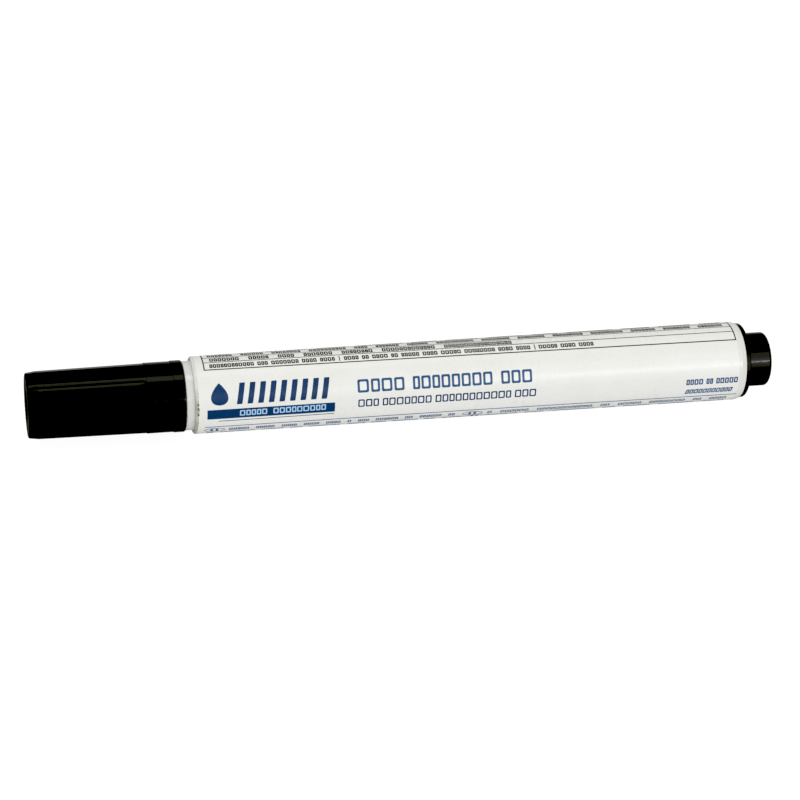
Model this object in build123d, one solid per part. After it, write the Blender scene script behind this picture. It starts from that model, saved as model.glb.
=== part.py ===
"""Felt-tip cleaning pen, lying along X with its cap at -X: a capillary marker filled with cleaning fluid.

Nearly every piece is turned about the pen's axis. A piece is drawn as a closed outline of (station, radius)
points, in millimetres. A station is the distance along the axis from the closed end of the fitted cap.
"""
from build123d import *

import math
import os

# ---- overall ----------------------------------------------------------------------------------------------
BARREL_LENGTH = 109.05
BARREL_FRONT_RADIUS = 7.45
BARREL_TAPER = 0.165        # degrees: the barrel widens to the rear
FRONT_STEP = 0.81           # barrel down to the nose's collar
COLLAR_LEDGE = 1.31         # collar down to what the cap fits on

# ---- cap --------------------------------------------------------------------------------------------------
CAP_END_WALL = 1.3
CAP_END_ROUND = 0.35
CAP_END_CONE = 2.0          # the closed end narrows over this length
CAP_END_DROP = 0.25         # and by this much
CAP_END_CONE_ROUND = 3.5    # where it meets the ribs
CAP_DISH_RADIUS = 4.4       # shallow dish in the closed end
CAP_DISH_DEPTH = 0.3
CAP_END_SIDE_WALL = 1.33    # round the inner cap, at the closed end
CAP_TAPER = 0.6             # degrees: the ribbed part widens to the mouth
BAND_LENGTH = 5.1           # plain band between the ribs and the mouth ring
BAND_WALL = 1.39
RING_LENGTH = 2.1           # mouth ring
RING_WALL = 1.5
CAP_BORE_CLEARANCE = 0.04
CAP_SEAT_GAP = 0.05         # between the cap's mouth and the collar
MOUTH_ROUND = 0.25
MOUTH_LEAD_IN = 0.3
STEP_ROUND = 0.06
GROOVE_COUNT = 20
GROOVE_DEPTH = 0.22
GROOVE_CUTTER_RADIUS = 1.6
GROOVE_START = 1.5          # where the full depth is reached, from the closed end
GROOVE_END_MARGIN = 1.9     # full depth stops this far short of the plain band
RUN_OUT_RADIUS = 6.0        # the grooves fade out along an arc of this radius at both ends
RUN_OUT_ANGLE = 26.0

# ---- inner cap --------------------------------------------------------------------------------------------
LINER_WALL = 0.84           # round the nose's sealing land
LINER_CHAMBER_WALL = 1.18
LINER_FLOOR = 0.9
LINER_SEAT_CLEARANCE = 0.02
LINER_SEAT_MARGIN = 0.45    # the inner cap's mouth is this far inside its seat
LINER_MOUTH_MARGIN = 1.0    # and this far short of the nose's shoulder
LINER_CHAMBER_MARGIN = 0.65
LINER_LEAD_IN = 0.3
SEAL_CLEARANCE = 0.04       # inner cap to the nose's sealing land
TIP_SPACE = 4.97            # between the nib's tip and the inner cap's floor

# ---- nose -------------------------------------------------------------------------------------------------
COLLAR_LENGTH = 1.6         # the part that shows between cap and barrel
COLLAR_ROUND = 0.15
FIT_LAND_LENGTH = 5.1
SNAP_BEAD_HEIGHT = 0.05
SNAP_BEAD_WIDTH = 0.8
SNAP_BEAD_FROM_COLLAR = 1.9
SHOULDER_LENGTH = 3.0
SHOULDER_HEIGHT = 1.08      # fit land down to the sealing land
SEAL_LAND_LENGTH = 7.0
NOSE_TIP_CONE = 1.4
NOSE_TIP_DROP = 0.9         # sealing land down to the tip
NOSE_TIP_WALL = 0.88        # round the nib
NOSE_WALL = 1.2
SPIGOT_LENGTH = 8.0         # what goes into the barrel
SPIGOT_CLEARANCE = 0.03
SPIGOT_WALL = 1.3
SPIGOT_LEAD_IN = 0.4
CHAMBER_LEAD = 0.5          # the air chamber starts this far in front of the fit land
CHAMBER_CONE = 1.5
VENT_COUNT = 4              # air grooves along the nib's bore
VENT_WIDTH = 0.6
VENT_DEPTH = 0.35
AIR_NOTCH_COUNT = 4         # in the spigot's end
AIR_NOTCH_WIDTH = 1.4
AIR_NOTCH_LENGTH = 2.0

# ---- nib --------------------------------------------------------------------------------------------------
NIB_CLEARANCE = 0.02
NIB_REACH = 6.0             # tip beyond the nose
NIB_TIP_FLAT = 0.3          # radius of what the tip's rounding leaves flat
NIB_TAIL_LENGTH = 7.6       # the part pressed into the fibre core
NIB_TAIL_CONE = 2.0
NIB_TAIL_DROP = 0.8

# ---- barrel -----------------------------------------------------------------------------------------------
BARREL_WALL = 1.2
BARREL_FRONT_ROUND = 0.35
BARREL_REAR_CONE = 0.9      # the rear end narrows over this length
BARREL_REAR_DROP = 0.3      # and by this much
BARREL_REAR_ROUND = 1.8     # where it starts to narrow
CENTRING_RIB_COUNT = 6
CENTRING_RIB_WIDTH = 0.6
CENTRING_RIB_HEIGHT = 0.4   # at its front end
CENTRING_RIB_MARGIN = 1.5   # from the nose's spigot and from the core's rear end
RIB_ROOT = 0.3              # how far a rib is let into the wall

# ---- label ------------------------------------------------------------------------------------------------
LABEL_THICKNESS = 0.1
LABEL_RECESS = 0.12         # the label lies just under the barrel's bare ends
LABEL_FRONT_MARGIN = 0.45
LABEL_REAR_MARGIN = 1.5
LABEL_EDGE_GAP = 0.03
LAP_ARC = 28.0              # degrees of overlap where the label's two ends meet
LAP_DIRECTION = 205.0       # degrees from straight forward (-Y), over the top, to the start of the lap

# ---- reservoir --------------------------------------------------------------------------------------------
FILM_THICKNESS = 0.1
FILM_CLEARANCE = 0.03       # film to the barrel's centring ribs
FILM_SHORT = 0.3            # the film stops this far short of each end of the core
REAR_SPACE = 11.5           # air space behind the core, up to the barrel's rear end

# ---- rear plug --------------------------------------------------------------------------------------------
FLANGE_THICKNESS = 1.0
FLANGE_DROP = 0.1           # its edge narrows this much to the rear
FLANGE_EDGE_ROUND = 0.2
FLANGE_STEP = 0.03          # barrel's rear edge down to the flange
STUB_LENGTH = 5.05          # what the cap posts on
STUB_WALL = 1.15
STUB_END_ROUND = 0.55
STUB_BASE_ROUND = 0.3
STUB_DIMPLE_RADIUS = 1.2
STUB_DIMPLE_DEPTH = 0.25
PLUG_SPIGOT_LENGTH = 8.0
PLUG_CLEARANCE = 0.03
PLUG_WALL = 1.15
PLUG_LEAD_IN = 0.4
FIN_PLATES = 2              # crossed plates that hold the core
FIN_THICKNESS = 0.8

# ---- stations, from the closed end of the cap -------------------------------------------------------------
LINER_CHAMBER_START = CAP_END_WALL + LINER_FLOOR
NIB_TIP = LINER_CHAMBER_START + TIP_SPACE
NOSE_FRONT = NIB_TIP + NIB_REACH
SEAL_LAND_FRONT = NOSE_FRONT + NOSE_TIP_CONE
SEAL_LAND_REAR = SEAL_LAND_FRONT + SEAL_LAND_LENGTH
LAND_FRONT = SEAL_LAND_REAR + SHOULDER_LENGTH
COLLAR_FACE = LAND_FRONT + FIT_LAND_LENGTH
BARREL_FRONT = COLLAR_FACE + COLLAR_LENGTH
SPIGOT_END = BARREL_FRONT + SPIGOT_LENGTH
BARREL_REAR = BARREL_FRONT + BARREL_LENGTH
STUB_BASE = BARREL_REAR + FLANGE_THICKNESS
PEN_LENGTH = STUB_BASE + STUB_LENGTH
CAP_LENGTH = COLLAR_FACE - CAP_SEAT_GAP
RING_START = CAP_LENGTH - RING_LENGTH
RIB_LENGTH = RING_START - BAND_LENGTH
LINER_CHAMBER_END = NOSE_FRONT - LINER_CHAMBER_MARGIN
LINER_MOUTH = SEAL_LAND_REAR - LINER_MOUTH_MARGIN
CAP_BORE_END = LINER_MOUTH + LINER_SEAT_MARGIN
SNAP_STATION = COLLAR_FACE - SNAP_BEAD_FROM_COLLAR
CORE_FRONT = SPIGOT_END
CORE_REAR = BARREL_REAR - REAR_SPACE
NIB_TAIL = CORE_FRONT + NIB_TAIL_LENGTH
LABEL_FRONT = BARREL_FRONT + LABEL_FRONT_MARGIN
LABEL_REAR = BARREL_REAR - LABEL_REAR_MARGIN
CENTRING_RIB_START = SPIGOT_END + CENTRING_RIB_MARGIN
CENTRING_RIB_END = CORE_REAR - CENTRING_RIB_MARGIN
FULL_TURN = 360.0


def barrel_radius(station):
    """Outside of the bare barrel."""
    return BARREL_FRONT_RADIUS + (station - BARREL_FRONT) * math.tan(math.radians(BARREL_TAPER))


def bore_radius(station):
    """Inside of the barrel."""
    return barrel_radius(station) - BARREL_WALL


# ---- radii ------------------------------------------------------------------------------------------------
COLLAR_RADIUS = BARREL_FRONT_RADIUS - FRONT_STEP
POST_RADIUS = COLLAR_RADIUS - COLLAR_LEDGE      # the rear stub and the nose's snap bead: the cap fits both
FIT_LAND_RADIUS = POST_RADIUS - SNAP_BEAD_HEIGHT
SEAL_LAND_RADIUS = FIT_LAND_RADIUS - SHOULDER_HEIGHT
SEAL_RADIUS = SEAL_LAND_RADIUS + SEAL_CLEARANCE
LINER_RADIUS = SEAL_RADIUS + LINER_WALL
LINER_SEAT_RADIUS = LINER_RADIUS + LINER_SEAT_CLEARANCE
CAP_BORE_RADIUS = POST_RADIUS + CAP_BORE_CLEARANCE
BAND_RADIUS = CAP_BORE_RADIUS + BAND_WALL
RING_RADIUS = CAP_BORE_RADIUS + RING_WALL
NOSE_TIP_RADIUS = SEAL_LAND_RADIUS - NOSE_TIP_DROP
NIB_BORE_RADIUS = NOSE_TIP_RADIUS - NOSE_TIP_WALL
NIB_RADIUS = NIB_BORE_RADIUS - NIB_CLEARANCE
CENTRING_RADIUS = bore_radius(CENTRING_RIB_START) - CENTRING_RIB_HEIGHT
FILM_RADIUS = CENTRING_RADIUS - FILM_CLEARANCE
CORE_RADIUS = FILM_RADIUS - FILM_THICKNESS
REAR_EDGE_RADIUS = barrel_radius(BARREL_REAR) - BARREL_REAR_DROP
AXIS_HEIGHT = barrel_radius(BARREL_REAR - BARREL_REAR_CONE)     # the pen rests on its barrel's widest part


def crest_radius(station):
    """Top of the cap's ribs, as if they ran on to its closed end."""
    return LINER_SEAT_RADIUS + CAP_END_SIDE_WALL + station * math.tan(math.radians(CAP_TAPER))


def turned(outline, rounds=(), arc=FULL_TURN):
    """A solid turned about the pen's axis from a closed outline, with the named corners rounded."""
    face = make_face(Polyline(*outline, close=True))
    for corner, size in rounds:
        vertex = face.vertices().sort_by_distance(Vector(*corner))[0]
        face = fillet(vertex, size)
    return revolve(face, Axis.X, revolution_arc=arc)


def slot(start, end, low, high, width, turn):
    """A straight block along the axis between two stations and two radii, turned about the axis."""
    block = Box(end - start, width, high - low)
    return Rot(X=turn) * Pos((start + end) / 2, 0, (low + high) / 2) * block


def around(count, first=0.0):
    """Evenly spaced angles about the axis."""
    return [first + FULL_TURN * i / count for i in range(count)]


def groove_cutter():
    """A round bar that follows the slope of the ribs and curves away from the cap at both ends."""
    lift = GROOVE_CUTTER_RADIUS - GROOVE_DEPTH
    stop = RIB_LENGTH - GROOVE_END_MARGIN
    near = Vector(GROOVE_START, crest_radius(GROOVE_START) + lift)
    far = Vector(stop, crest_radius(stop) + lift)
    along = far - near
    fade_in = JernArc(near, -along, RUN_OUT_RADIUS, -RUN_OUT_ANGLE)
    fade_out = JernArc(far, along, RUN_OUT_RADIUS, RUN_OUT_ANGLE)
    path = Wire([fade_in.edge(), Line(near, far).edge(), fade_out.edge()])
    section = Plane(origin=path @ 0, z_dir=path % 0) * Circle(GROOVE_CUTTER_RADIUS)
    return sweep(section, path=path)


def make_cap_shell():
    end_corner = (0, crest_radius(0) - CAP_END_DROP)
    cone_corner = (CAP_END_CONE, crest_radius(CAP_END_CONE))
    band_corner = (RIB_LENGTH, BAND_RADIUS)
    ring_corner = (RING_START, RING_RADIUS)
    mouth_corner = (CAP_LENGTH, RING_RADIUS)
    shell = turned(
        [
            (CAP_DISH_DEPTH, 0),
            (0, CAP_DISH_RADIUS),
            end_corner,
            cone_corner,
            (RIB_LENGTH, crest_radius(RIB_LENGTH)),
            band_corner,
            (RING_START, BAND_RADIUS),
            ring_corner,
            mouth_corner,
            (CAP_LENGTH, CAP_BORE_RADIUS + MOUTH_LEAD_IN),
            (CAP_LENGTH - MOUTH_LEAD_IN, CAP_BORE_RADIUS),
            (CAP_BORE_END, CAP_BORE_RADIUS),
            (CAP_BORE_END, LINER_SEAT_RADIUS),
            (CAP_END_WALL, LINER_SEAT_RADIUS),
            (CAP_END_WALL, 0),
        ],
        [
            (end_corner, CAP_END_ROUND),
            (cone_corner, CAP_END_CONE_ROUND),
            (band_corner, STEP_ROUND),
            (ring_corner, STEP_ROUND),
            (mouth_corner, MOUTH_ROUND),
        ],
    )
    snap_groove = turned(
        [
            (SNAP_STATION - SNAP_BEAD_WIDTH, CAP_BORE_RADIUS - SNAP_BEAD_HEIGHT),
            (SNAP_STATION - SNAP_BEAD_WIDTH, CAP_BORE_RADIUS),
            (SNAP_STATION, CAP_BORE_RADIUS + SNAP_BEAD_HEIGHT),
            (SNAP_STATION + SNAP_BEAD_WIDTH, CAP_BORE_RADIUS),
            (SNAP_STATION + SNAP_BEAD_WIDTH, CAP_BORE_RADIUS - SNAP_BEAD_HEIGHT),
        ]
    )
    # A rib's crest points straight forward, so the grooves start half a pitch from there.
    half_pitch = FULL_TURN / GROOVE_COUNT / 2
    cutter = groove_cutter()
    cutters = [Rot(X=FULL_TURN / 4 + turn) * cutter for turn in around(GROOVE_COUNT, half_pitch)]
    return shell - snap_groove - cutters


def make_inner_cap():
    chamber_radius = LINER_RADIUS - LINER_CHAMBER_WALL
    return turned(
        [
            (CAP_END_WALL, 0),
            (CAP_END_WALL, LINER_RADIUS),
            (LINER_MOUTH, LINER_RADIUS),
            (LINER_MOUTH, SEAL_RADIUS + LINER_LEAD_IN),
            (LINER_MOUTH - LINER_LEAD_IN, SEAL_RADIUS),
            (LINER_CHAMBER_END, SEAL_RADIUS),
            (LINER_CHAMBER_END, chamber_radius),
            (LINER_CHAMBER_START, chamber_radius),
            (LINER_CHAMBER_START, 0),
        ]
    )


def make_nose_section():
    spigot_radius = bore_radius(BARREL_FRONT) - SPIGOT_CLEARANCE
    chamber_front = LAND_FRONT - CHAMBER_LEAD
    chamber_radius = FIT_LAND_RADIUS - NOSE_WALL
    spigot_hollow = spigot_radius - SPIGOT_WALL
    nose = turned(
        [
            (NOSE_FRONT, NIB_BORE_RADIUS),
            (NOSE_FRONT, NOSE_TIP_RADIUS),
            (SEAL_LAND_FRONT, SEAL_LAND_RADIUS),
            (SEAL_LAND_REAR, SEAL_LAND_RADIUS),
            (LAND_FRONT, FIT_LAND_RADIUS),
            (SNAP_STATION - SNAP_BEAD_WIDTH / 2, FIT_LAND_RADIUS),
            (SNAP_STATION, POST_RADIUS),
            (SNAP_STATION + SNAP_BEAD_WIDTH / 2, FIT_LAND_RADIUS),
            (COLLAR_FACE, FIT_LAND_RADIUS),
            (COLLAR_FACE, COLLAR_RADIUS),
            (BARREL_FRONT, COLLAR_RADIUS),
            (BARREL_FRONT, spigot_radius),
            (SPIGOT_END - SPIGOT_LEAD_IN, spigot_radius),
            (SPIGOT_END, spigot_radius - SPIGOT_LEAD_IN),
            (SPIGOT_END, spigot_hollow),
            (BARREL_FRONT, spigot_hollow),
            (COLLAR_FACE, chamber_radius),
            (chamber_front + CHAMBER_CONE, chamber_radius),
            (chamber_front, NIB_BORE_RADIUS + VENT_DEPTH),
            (chamber_front, NIB_BORE_RADIUS),
        ],
        [((COLLAR_FACE, COLLAR_RADIUS), COLLAR_ROUND)],
    )
    past = 1.0      # the cutters run this far past the faces they open
    rim = spigot_radius + past
    vent_low = NIB_BORE_RADIUS - VENT_DEPTH
    vent_high = NIB_BORE_RADIUS + VENT_DEPTH
    vents = [
        slot(NOSE_FRONT - past, chamber_front + past, vent_low, vent_high, VENT_WIDTH, turn)
        for turn in around(VENT_COUNT, 45)
    ]
    notches = [
        slot(SPIGOT_END - AIR_NOTCH_LENGTH, SPIGOT_END + past, NIB_RADIUS, rim, AIR_NOTCH_WIDTH, turn)
        for turn in around(AIR_NOTCH_COUNT)
    ]
    return nose - vents - notches


def nib_outline(clearance):
    """The nib's own outline, or with a clearance the hollow that it presses into the core."""
    radius = NIB_RADIUS + clearance
    return [
        (NIB_TIP, 0),
        (NIB_TIP, radius),
        (NIB_TAIL - NIB_TAIL_CONE, radius),
        (NIB_TAIL + clearance, radius - NIB_TAIL_DROP),
        (NIB_TAIL + clearance, 0),
    ]


def make_nib():
    return turned(nib_outline(0), [((NIB_TIP, NIB_RADIUS), NIB_RADIUS - NIB_TIP_FLAT)])


def make_reservoir_core():
    core = turned([(CORE_FRONT, 0), (CORE_FRONT, CORE_RADIUS), (CORE_REAR, CORE_RADIUS), (CORE_REAR, 0)])
    return core - turned(nib_outline(NIB_CLEARANCE))


def make_reservoir_film():
    front = CORE_FRONT + FILM_SHORT
    rear = CORE_REAR - FILM_SHORT
    return turned([(front, CORE_RADIUS), (front, FILM_RADIUS), (rear, FILM_RADIUS), (rear, CORE_RADIUS)])


def make_barrel():
    front_corner = (BARREL_FRONT, barrel_radius(BARREL_FRONT))
    cone_station = BARREL_REAR - BARREL_REAR_CONE
    cone_corner = (cone_station, barrel_radius(cone_station))
    tube = turned(
        [
            (BARREL_FRONT, bore_radius(BARREL_FRONT)),
            front_corner,
            (LABEL_FRONT, barrel_radius(LABEL_FRONT)),
            (LABEL_FRONT, barrel_radius(LABEL_FRONT) - LABEL_RECESS),
            (LABEL_REAR, barrel_radius(LABEL_REAR) - LABEL_RECESS),
            (LABEL_REAR, barrel_radius(LABEL_REAR)),
            cone_corner,
            (BARREL_REAR, REAR_EDGE_RADIUS),
            (BARREL_REAR, bore_radius(BARREL_REAR)),
        ],
        [(front_corner, BARREL_FRONT_ROUND), (cone_corner, BARREL_REAR_ROUND)],
    )
    # The ribs' crests stay level along the bore, because the fibre core doesn't taper.
    rib_face = make_face(
        Polyline(
            (CENTRING_RIB_START, CENTRING_RADIUS),
            (CENTRING_RIB_START, bore_radius(CENTRING_RIB_START) + RIB_ROOT),
            (CENTRING_RIB_END, bore_radius(CENTRING_RIB_END) + RIB_ROOT),
            (CENTRING_RIB_END, CENTRING_RADIUS),
            close=True,
        )
    )
    rib = extrude(Plane.XZ * rib_face, CENTRING_RIB_WIDTH / 2, both=True)
    return tube + [Rot(X=turn) * rib for turn in around(CENTRING_RIB_COUNT)]


def make_wrap_label():
    front = LABEL_FRONT + LABEL_EDGE_GAP
    rear = LABEL_REAR - LABEL_EDGE_GAP
    low_front = barrel_radius(front) - LABEL_RECESS
    low_rear = barrel_radius(rear) - LABEL_RECESS

    def layer(number):
        inside = number * LABEL_THICKNESS
        outside = inside + LABEL_THICKNESS
        return [
            (front, low_front + inside),
            (front, low_front + outside),
            (rear, low_rear + outside),
            (rear, low_rear + inside),
        ]

    # An outline starts on the +Y side, half a turn from straight forward, and turns towards the top.
    lap = Rot(X=FULL_TURN / 2 - LAP_DIRECTION - LAP_ARC) * turned(layer(1), arc=LAP_ARC)
    return turned(layer(0)) + lap


def make_rear_plug():
    spigot_front = BARREL_REAR - PLUG_SPIGOT_LENGTH
    spigot_radius = bore_radius(spigot_front) - PLUG_CLEARANCE
    flange_radius = REAR_EDGE_RADIUS - FLANGE_STEP
    hollow = spigot_radius - PLUG_WALL
    hollow_end = BARREL_REAR - PLUG_WALL
    stub_hollow = POST_RADIUS - STUB_WALL
    stub_hollow_end = PEN_LENGTH - STUB_WALL - STUB_DIMPLE_DEPTH
    rim_corner = (STUB_BASE, flange_radius - FLANGE_DROP)
    base_corner = (STUB_BASE, POST_RADIUS)
    stub_corner = (PEN_LENGTH, POST_RADIUS)
    plug = turned(
        [
            (spigot_front, hollow),
            (spigot_front, spigot_radius - PLUG_LEAD_IN),
            (spigot_front + PLUG_LEAD_IN, spigot_radius),
            (BARREL_REAR, spigot_radius),
            (BARREL_REAR, flange_radius),
            rim_corner,
            base_corner,
            stub_corner,
            (PEN_LENGTH, STUB_DIMPLE_RADIUS),
            (PEN_LENGTH - STUB_DIMPLE_DEPTH, 0),
            (stub_hollow_end, 0),
            (stub_hollow_end, stub_hollow),
            (BARREL_REAR, stub_hollow),
            (hollow_end, hollow),
        ],
        [(rim_corner, FLANGE_EDGE_ROUND), (base_corner, STUB_BASE_ROUND), (stub_corner, STUB_END_ROUND)],
    )
    fin_radius = hollow + RIB_ROOT
    fins = [
        slot(CORE_REAR, hollow_end, -fin_radius, fin_radius, FIN_THICKNESS, turn / 2)
        for turn in around(FIN_PLATES)
    ]
    return plug + fins


def main():
    os.makedirs("parts", exist_ok=True)
    makers = {
        "cap_shell": make_cap_shell,
        "inner_cap": make_inner_cap,
        "nose_section": make_nose_section,
        "nib": make_nib,
        "reservoir_core": make_reservoir_core,
        "reservoir_film": make_reservoir_film,
        "barrel": make_barrel,
        "wrap_label": make_wrap_label,
        "rear_plug": make_rear_plug,
    }
    in_place = Pos(-PEN_LENGTH / 2, 0, AXIS_HEIGHT)
    for name, make in makers.items():
        export_step(in_place * make(), f"parts/{name}.step")


main()
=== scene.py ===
"""Felt-tip cleaning pen: finished surfaces, label print, finishes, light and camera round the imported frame.

The pen lies along X with its cap at -X. Shapes are worked out in millimetres on a station, the distance from
the closed end of the fitted cap, a radius from the pen's axis, and a turn about it, which is 0 straight
forward (-Y) and a quarter turn at the top (+Z). The meshes themselves are in metres.
"""
import math

import bpy
import numpy as np
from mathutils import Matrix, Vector


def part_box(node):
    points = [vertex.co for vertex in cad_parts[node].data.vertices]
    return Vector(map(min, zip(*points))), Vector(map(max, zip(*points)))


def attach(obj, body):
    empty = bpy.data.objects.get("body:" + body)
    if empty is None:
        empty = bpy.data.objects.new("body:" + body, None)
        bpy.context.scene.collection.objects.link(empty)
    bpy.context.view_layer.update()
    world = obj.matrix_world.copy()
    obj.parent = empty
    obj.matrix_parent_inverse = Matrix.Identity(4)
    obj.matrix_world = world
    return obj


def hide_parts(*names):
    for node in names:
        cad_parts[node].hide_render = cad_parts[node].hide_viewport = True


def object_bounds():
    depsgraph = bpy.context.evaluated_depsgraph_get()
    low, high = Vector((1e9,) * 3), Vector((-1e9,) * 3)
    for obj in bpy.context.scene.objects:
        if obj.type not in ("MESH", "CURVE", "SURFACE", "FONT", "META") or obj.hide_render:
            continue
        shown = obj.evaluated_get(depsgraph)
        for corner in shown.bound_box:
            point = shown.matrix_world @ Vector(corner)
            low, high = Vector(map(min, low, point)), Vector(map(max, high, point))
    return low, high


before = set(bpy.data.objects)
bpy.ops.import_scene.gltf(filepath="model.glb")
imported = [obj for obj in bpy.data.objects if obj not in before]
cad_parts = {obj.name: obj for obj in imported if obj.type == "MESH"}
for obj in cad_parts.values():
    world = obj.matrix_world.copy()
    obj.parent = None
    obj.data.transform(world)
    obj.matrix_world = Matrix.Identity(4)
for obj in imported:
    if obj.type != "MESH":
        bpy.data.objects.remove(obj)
cad_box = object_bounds()

MM = 0.001
TURN = 2 * math.pi

# ---- places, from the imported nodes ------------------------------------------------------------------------
CLOSED_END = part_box("cap_shell")[0].x
AXIS_HEIGHT = (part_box("rear_plug")[0].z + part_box("rear_plug")[1].z) / 2


def ends(node):
    """First and last station of a node, in millimetres."""
    low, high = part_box(node)
    return (low.x - CLOSED_END) / MM, (high.x - CLOSED_END) / MM


CAP_LENGTH = ends("cap_shell")[1]
LINER_START, LINER_MOUTH = ends("inner_cap")
NOSE_FRONT, SPIGOT_END = ends("nose_section")
NIB_TIP, NIB_TAIL = ends("nib")
BARREL_FRONT, BARREL_REAR = ends("barrel")
LABEL_FRONT, LABEL_REAR = ends("wrap_label")
PLUG_FRONT, PEN_LENGTH = ends("rear_plug")
CORE_REAR = ends("reservoir_core")[1]

# ---- cap --------------------------------------------------------------------------------------------------
CREST_AT_END = 6.43         # the ribs' crests, run on to the closed end
CREST_SLOPE = math.tan(math.radians(0.6))
END_DISH_DEPTH = 0.3
END_DISH_RADIUS = 4.4
RIB_LENGTH = 22.42
RING_START = 27.52
BAND_RADIUS = 6.76
RING_RADIUS = 6.87
CAP_BORE = 5.37
LINER_SEAT = 5.10
CAP_BORE_END = 21.02
SNAP_STATION = 27.77
SNAP_WIDTH = 0.8
LEAD_IN = 0.3               # widening at the mouth of the cap and of the inner cap
GROOVES = 20
GROOVE_DEPTH = 0.07
CREST_WIDTH = 0.12          # rounding of a rib's crest, as a share of half a rib
GROOVE_START = 1.5          # full depth from here
GROOVE_STOP = 20.9          # to here
GROOVE_FADE = 1.3           # length of the run-out at both ends

# ---- nose, nib and inner cap ------------------------------------------------------------------------------
COLLAR_FACE = 29.67
COLLAR_RADIUS = 6.64
FIT_LAND = 5.28             # radius of the land that the cap's bore slides on
FIT_LAND_START = 24.57
POST_RADIUS = 5.33          # radius of the snap bead, and of the rear stub that the cap can be posted on
SEAL_LAND = 4.20            # radius of the land that the inner cap seals on
SEAL_LAND_END = 21.57
NOSE_TIP = 3.30
NOSE_WALL = 1.2
SPIGOT_RADIUS = 6.22
SPIGOT_WALL = 1.3
SPIGOT_CHAMFER = 0.4
NOTCH_HALF_WIDTH = 0.7
NOTCH_RADIUS = 5.5
NOTCH_DEPTH = 2.0
NIB_BORE = 2.42
NIB_BORE_END = 24.07
NIB_BORE_LEAD = 0.40
NOSE_CHAMBER_START = 25.57
NIB_RADIUS = 2.40
VENT_WIDTH = 0.6
VENT_DEPTH = 0.35
LINER_RADIUS = 5.08
LINER_SEAL = 4.24
LINER_CHAMBER = 3.90        # the narrower bore round the nib's tip
LINER_CHAMBER_END = 12.52
LINER_FLOOR = 2.2

# ---- barrel and label -------------------------------------------------------------------------------------
BARREL_FRONT_RADIUS = 7.45
BARREL_SLOPE = math.tan(math.radians(0.165))
BARREL_WALL = 1.2
RECESS = 0.12
RECESS_MARGIN = 0.03
FILM = 0.1
LAP_START = math.radians(205)
LAP_ARC = math.radians(28)
LAP_RISE = 0.12             # turn over which the film climbs over its own start
REAR_EASE = 0.9             # length of the softly narrowed rear end
REAR_NARROWING = 0.3
CENTRING_RIBS = np.arange(6) * TURN / 6 + TURN / 4
CENTRING_HALF_ANGLE = 0.3 / 6.0
RIB_CREST = 5.877           # centring ribs in the bore
RIB_FRONT = 40.77
RIB_REAR = 127.32

# ---- rear plug --------------------------------------------------------------------------------------------
FLANGE_LENGTH = 1.0
FLANGE_STEP = 0.33          # how far the flange stays below the barrel's outside
PLUG_CLEARANCE = 0.03
PLUG_WALL = 1.15
STUB_END_WALL = 1.4
DIMPLE_DEPTH = 0.25
DIMPLE_RADIUS = 1.2
PLATE_THICKNESS = 0.8

EDGE = 0.03                 # smallest rounding, so that no edge is razor sharp
WHOLE_RUN = 40.0            # step for a straight run that needs no points of its own


def barrel_radius(station):
    """Outside of the bare barrel: its front radius plus a constant slope."""
    return BARREL_FRONT_RADIUS + (station - BARREL_FRONT) * BARREL_SLOPE


def bore_radius(station):
    """Inside of the barrel: its outside less the wall."""
    return barrel_radius(station) - BARREL_WALL


def label_radius(station):
    """Outside of the label, one film thickness above the floor of its recess."""
    return barrel_radius(station) - RECESS + FILM


# ---- surfaces ---------------------------------------------------------------------------------------------
def outline(corners, closed=False, step=3.0, arc_steps=5):
    """Corners (station, radius, rounding, step) as one smooth line of points.

    Each rounding is an arc that touches both of its straight runs: its centre lies on the bisector at the
    rounding over the sine of half the angle. A run carries extra points a hair inside each end, which keep
    the shading flat along it, and one at every step. A corner's own step is for the run that follows it.
    """
    rows = np.array([(c[0], c[1]) for c in corners], float)
    rounds = [c[2] if len(c) > 2 else 0.0 for c in corners]
    steps = [c[3] if len(c) > 3 else step for c in corners]
    count = len(rows)
    bent = []
    for i, (here, size) in enumerate(zip(rows, rounds)):
        if size <= 0 or (not closed and i in (0, count - 1)):
            bent.append(here[None])
            continue
        back = rows[i - 1] - here
        ahead = rows[(i + 1) % count] - here
        back, ahead = back / np.linalg.norm(back), ahead / np.linalg.norm(ahead)
        half = math.acos(np.clip(back @ ahead, -1, 1)) / 2
        touch = size / math.tan(half)
        bisector = (back + ahead) / np.linalg.norm(back + ahead)
        centre = here + bisector * size / math.sin(half)
        first, last = here + back * touch - centre, here + ahead * touch - centre
        sweep = math.pi - 2 * half
        u = np.linspace(0, 1, arc_steps + 1)[:, None]
        bent.append(centre + (np.sin((1 - u) * sweep) * first + np.sin(u * sweep) * last) / math.sin(sweep))
    line = []
    for i, arc in enumerate(bent):
        line.append(arc)
        if i == count - 1 and not closed:
            break
        start, stop = arc[-1], bent[(i + 1) % count][0]
        length = np.linalg.norm(stop - start)
        hair = min(0.04, length / 4)
        inner = np.arange(1, max(1, math.ceil((length - 2 * hair) / steps[i]))) * steps[i] + hair
        inner = inner[inner < length - hair * 1.5]
        along = np.concatenate([[hair], inner, [length - hair]]) if length > 0.02 else np.array([])
        if along.size:
            line.append(start + (stop - start) * (along / length)[:, None])
    return np.concatenate(line)


def place(station, radius, turn):
    """Station, radius (millimetres) and turn (radians) to a point in metres, as whole arrays."""
    x = CLOSED_END + station * MM
    y = -radius * np.cos(turn) * MM
    z = AXIS_HEIGHT + radius * np.sin(turn) * MM
    return np.stack(np.broadcast_arrays(x, y, z), axis=-1)


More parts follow.
